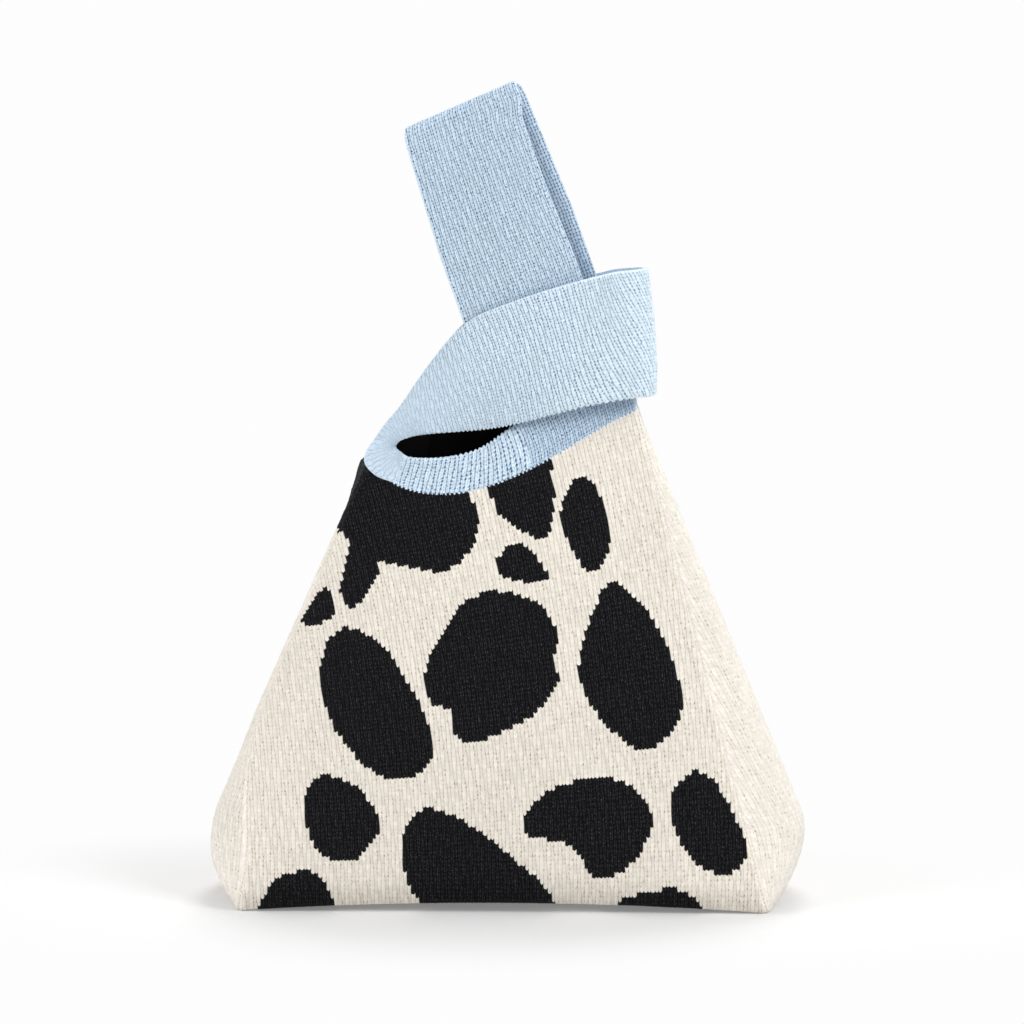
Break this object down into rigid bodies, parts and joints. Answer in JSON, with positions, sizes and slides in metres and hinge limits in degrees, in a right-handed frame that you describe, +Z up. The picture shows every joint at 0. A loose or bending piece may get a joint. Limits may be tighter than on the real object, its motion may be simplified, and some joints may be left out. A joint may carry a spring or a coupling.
{
  "type": "knitted knot bag",
  "caption": "Soft knitted wrist bag with a wedge-shaped spotted body and a long strap loop passed through a shorter strap loop that closes its mouth",
  "frame": {"origin": "middle of the underside of the base", "axes": "+Z up towards the handles, +X towards the shoulder that the long handle comes from, front of the bag faces -Y"},
  "size_m": [0.2602, 0.0906, 0.3588],
  "materials": {
    "spotted_knit": "matt jacquard knit, cream with black spots",
    "blue_knit": "matt plain knit, pale blue",
    "linking_yarn": "matt yarn"
  },
  "bodies": {
    "bag": {"front_panel": "spotted_knit", "back_panel": "spotted_knit", "left_gusset": "spotted_knit", "right_gusset": "spotted_knit", "base_panel": "spotted_knit", "front_band": "blue_knit", "back_band": "blue_knit", "long_handle_root_front": "blue_knit", "long_handle_root_back": "blue_knit", "long_handle_bend_front": "blue_knit", "long_handle_bend_back": "blue_knit", "short_handle_root_front": "blue_knit", "short_handle_root_back": "blue_knit", "front_left_seam": "linking_yarn", "front_right_seam": "linking_yarn", "back_left_seam": "linking_yarn", "back_right_seam": "linking_yarn", "base_seam": "linking_yarn", "front_band_seam": "linking_yarn", "back_band_seam": "linking_yarn"},
    "long_handle": {"long_handle_loop": "blue_knit"},
    "short_handle": {"short_handle_loop": "blue_knit"}
  },
  "joints": [
    {"name": "long_handle_flop", "type": "hinge", "parent": "bag", "child": "long_handle", "pos_m": [-0.00088, 0, 0.29309], "axis": [0.9426, 0, 0.3338], "range_deg": [-90, 90], "deforming": ["long_handle_bend_front", "long_handle_bend_back"]},
    {"name": "short_handle_swing", "type": "hinge", "parent": "bag", "child": "short_handle", "pos_m": [-0.05483, 0, 0.20192], "axis": [0, -1, 0], "range_deg": [0, 10], "deforming": ["short_handle_root_front", "short_handle_root_back"]}
  ]
}
